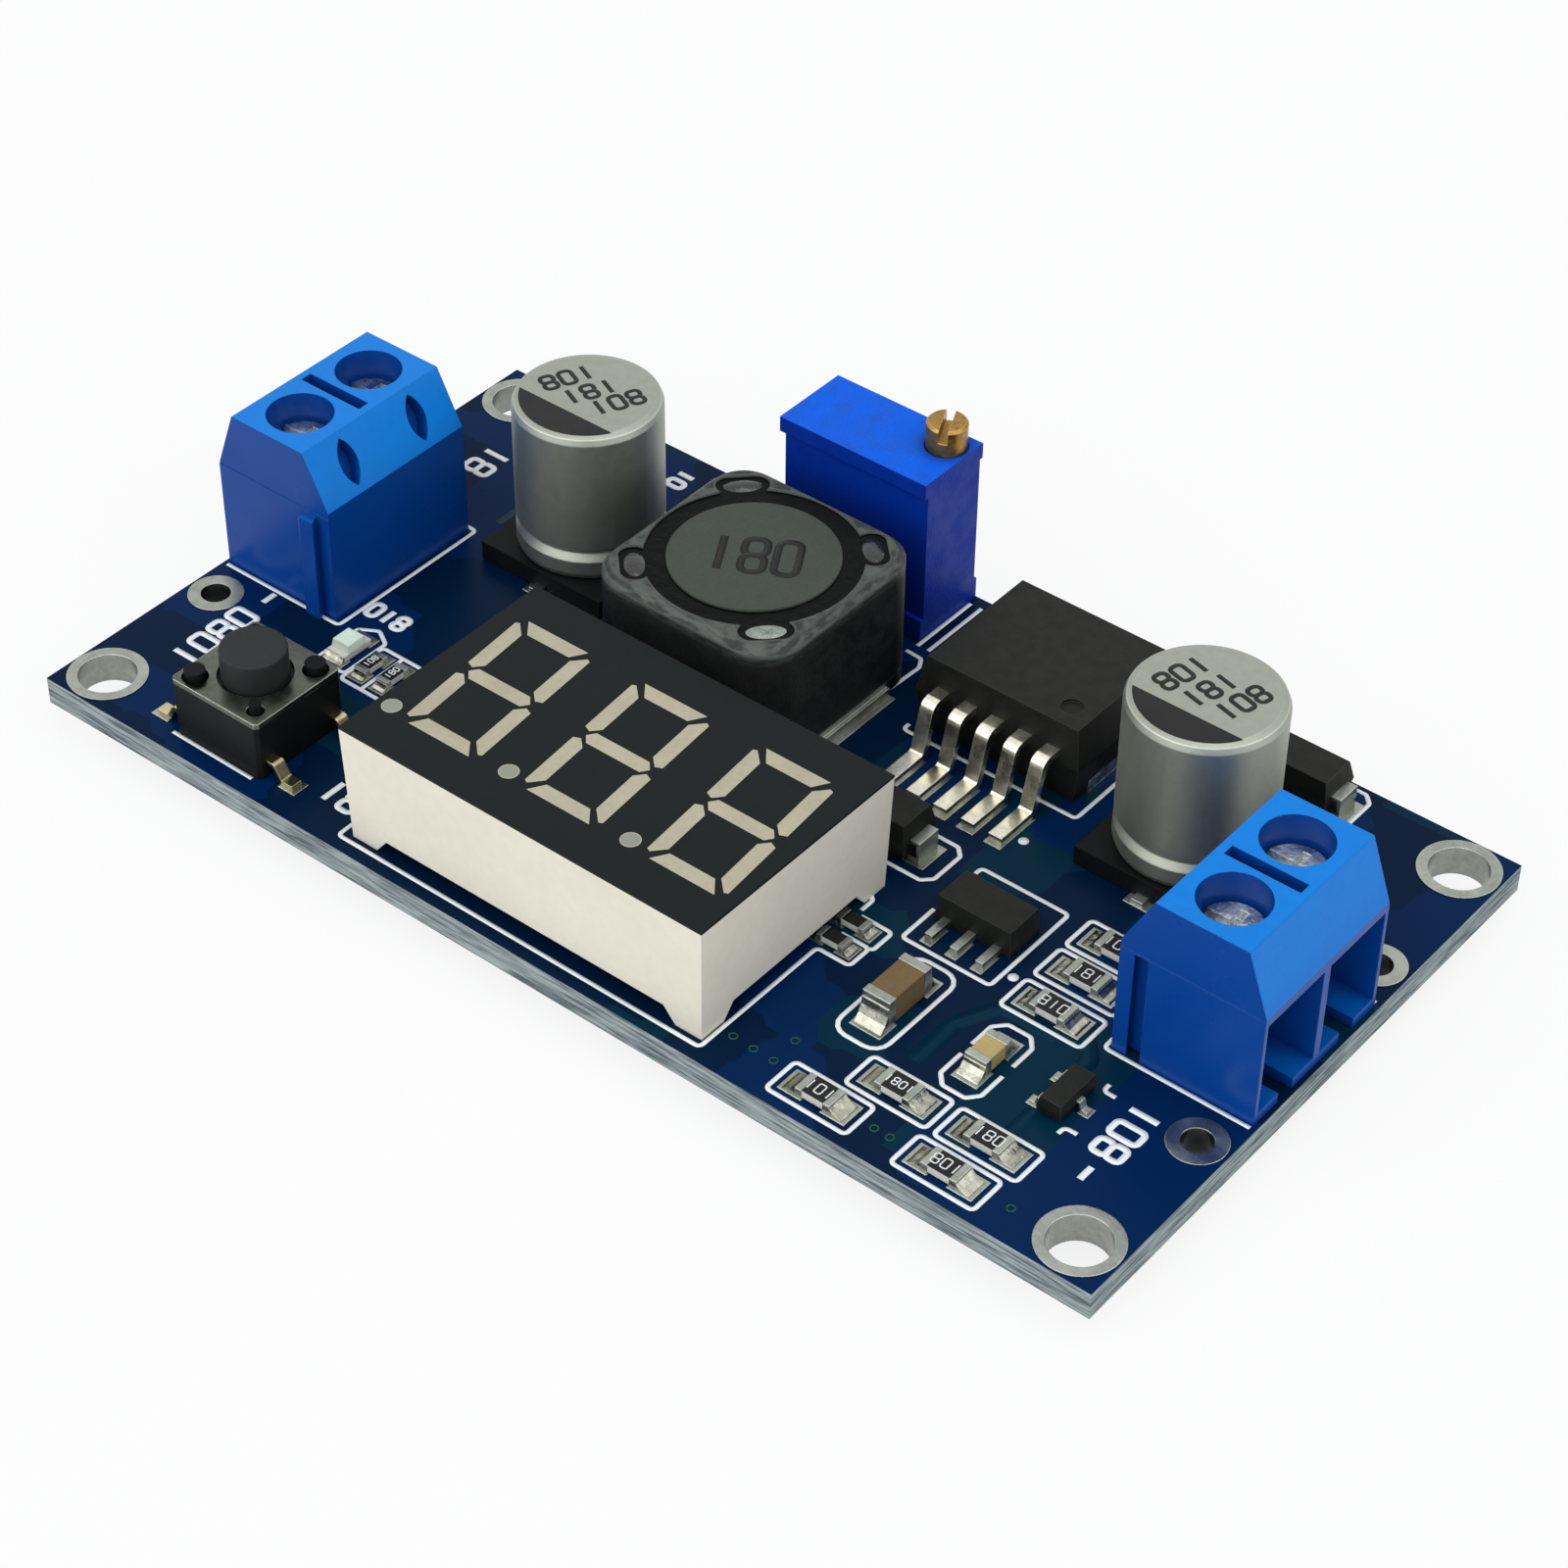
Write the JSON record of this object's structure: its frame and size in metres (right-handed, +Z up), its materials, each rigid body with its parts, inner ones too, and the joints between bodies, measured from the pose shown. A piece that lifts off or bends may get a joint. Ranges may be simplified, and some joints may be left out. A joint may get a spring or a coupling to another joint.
{
  "type": "buck converter module",
  "caption": "Step-down converter board with screw terminals, smoothing capacitors, shielded inductor, regulator, trimmer, push button and numeric display.",
  "frame": {"origin": "centre of the four mounting holes, on the underside of the board", "axes": "+X towards the input terminal along the board's long side, +Y towards the edge with the trimmer, +Z up out of the face that carries the components"},
  "size_m": [0.066, 0.036, 0.0147],
  "materials": {
    "board_laminate": "semi-gloss dark blue solder mask over fibreglass",
    "tinned_copper": "tinned copper, bright",
    "solder": "smooth bright solder",
    "terminal_plastic": "glossy blue moulded polyamide",
    "zinc_plated_steel": "zinc plated steel, lightly brushed",
    "display_white_plastic": "cream white moulded plastic",
    "display_black_film": "satin black printed film",
    "segment_resin": "milky diffusing resin",
    "fibreglass": "bare fibreglass laminate",
    "aluminium_can": "satin drawn aluminium",
    "black_plastic": "matt black moulded plastic",
    "shield_ferrite": "dark grey ferrite, slightly grainy",
    "core_ferrite": "grey green ground ferrite",
    "enamelled_copper": "enamelled copper wire",
    "black_epoxy": "glossy black epoxy",
    "trimmer_plastic": "fine grained bright blue plastic",
    "brass": "turned brass",
    "chip_plastic": "fine textured black epoxy moulding",
    "stamped_steel": "stamped bright steel",
    "plunger_plastic": "satin black plastic",
    "alumina": "white alumina",
    "resistor_glass": "black overglaze",
    "brown_ceramic": "brown fired ceramic",
    "tan_ceramic": "light tan fired ceramic",
    "lamp_resin": "clear pale resin"
  },
  "bodies": {
    "board": {"big_ceramic_capacitor": "brown_ceramic", "button_base": "black_plastic", "button_cover": "stamped_steel", "button_dome": "stamped_steel", "button_terminals": "tinned_copper", "capacitor_leads": "tinned_copper", "catch_diode_body": "chip_plastic", "ceramic_capacitor_caps": "tinned_copper", "chip_solder_fillets": "solder", "circuit_board": "board_laminate", "diode_terminals": "tinned_copper", "display_base_board": "fibreglass", "display_driver_body": "chip_plastic", "display_driver_leads": "tinned_copper", "display_face": "display_black_film", "display_pins": "tinned_copper", "display_segments": "segment_resin", "display_shell": "display_white_plastic", "hole_plating": "tinned_copper", "indicator_base": "alumina", "indicator_lens": "lamp_resin", "inductor_base": "black_plastic", "inductor_core": "core_ferrite", "inductor_glue": "black_epoxy", "inductor_shield": "shield_ferrite", "inductor_terminals": "tinned_copper", "inductor_winding": "enamelled_copper", "input_capacitor_base": "black_plastic", "input_capacitor_can": "aluminium_can", "input_diode_body": "chip_plastic", "input_terminal_housing": "terminal_plastic", "output_capacitor_base": "black_plastic", "output_capacitor_can": "aluminium_can", "output_terminal_housing": "terminal_plastic", "pin_solder_joints": "solder", "regulator_body": "chip_plastic", "regulator_leadframe": "tinned_copper", "resistor_bodies": "alumina", "resistor_coatings": "resistor_glass", "resistor_end_caps": "tinned_copper", "small_ceramic_capacitor": "tan_ceramic", "solder_pads": "tinned_copper", "supply_chip_body": "chip_plastic", "supply_chip_leads": "tinned_copper", "terminal_pins": "tinned_copper", "transistor_body": "chip_plastic", "transistor_leads": "tinned_copper", "trimmer_housing": "trimmer_plastic", "trimmer_pins": "tinned_copper"},
    "input_screw_front": {"input_screw_front": "zinc_plated_steel"},
    "input_clamp_front": {"input_clamp_front": "zinc_plated_steel"},
    "input_screw_back": {"input_screw_back": "zinc_plated_steel"},
    "input_clamp_back": {"input_clamp_back": "zinc_plated_steel"},
    "output_screw_front": {"output_screw_front": "zinc_plated_steel"},
    "output_clamp_front": {"output_clamp_front": "zinc_plated_steel"},
    "output_screw_back": {"output_screw_back": "zinc_plated_steel"},
    "output_clamp_back": {"output_clamp_back": "zinc_plated_steel"},
    "trimmer_screw": {"trimmer_screw": "brass"},
    "button_plunger": {"button_plunger": "plunger_plastic"}
  },
  "joints": [
    {"name": "button_press", "type": "slide", "parent": "board", "child": "button_plunger", "axis": [0, 0, -1], "range_m": [0, 0.00025], "stiffness_N_per_m": 400, "springref_m": -0.00005, "deforming": ["button_dome"]},
    {"name": "trimmer_turn", "type": "hinge", "parent": "board", "child": "trimmer_screw", "pos_m": [-0.00165, 0.01656, 0.01], "axis": [0, 0, -1], "continuous": true},
    {"name": "input_screw_front_turn", "type": "hinge", "parent": "board", "child": "input_screw_front", "pos_m": [0.029, -0.00254, 0.009], "axis": [0, 0, -1], "range_deg": [0, 1152]},
    {"name": "input_clamp_front_rise", "type": "slide", "parent": "board", "child": "input_clamp_front", "axis": [0, 0, 1], "range_m": [0, 0.0016]},
    {"name": "input_screw_back_turn", "type": "hinge", "parent": "board", "child": "input_screw_back", "pos_m": [0.029, 0.00254, 0.009], "axis": [0, 0, -1], "range_deg": [0, 1152]},
    {"name": "input_clamp_back_rise", "type": "slide", "parent": "board", "child": "input_clamp_back", "axis": [0, 0, 1], "range_m": [0, 0.0016]},
    {"name": "output_screw_front_turn", "type": "hinge", "parent": "board", "child": "output_screw_front", "pos_m": [-0.029, -0.00254, 0.009], "axis": [0, 0, -1], "range_deg": [0, 1152]},
    {"name": "output_clamp_front_rise", "type": "slide", "parent": "board", "child": "output_clamp_front", "axis": [0, 0, 1], "range_m": [0, 0.0016]},
    {"name": "output_screw_back_turn", "type": "hinge", "parent": "board", "child": "output_screw_back", "pos_m": [-0.029, 0.00254, 0.009], "axis": [0, 0, -1], "range_deg": [0, 1152]},
    {"name": "output_clamp_back_rise", "type": "slide", "parent": "board", "child": "output_clamp_back", "axis": [0, 0, 1], "range_m": [0, 0.0016]}
  ],
  "couplings": [
    {"joint": "input_screw_front_turn", "follows": "input_clamp_front_rise", "rad_per_m": 12566},
    {"joint": "input_screw_back_turn", "follows": "input_clamp_back_rise", "rad_per_m": 12566},
    {"joint": "output_screw_front_turn", "follows": "output_clamp_front_rise", "rad_per_m": 12566},
    {"joint": "output_screw_back_turn", "follows": "output_clamp_back_rise", "rad_per_m": 12566}
  ]
}
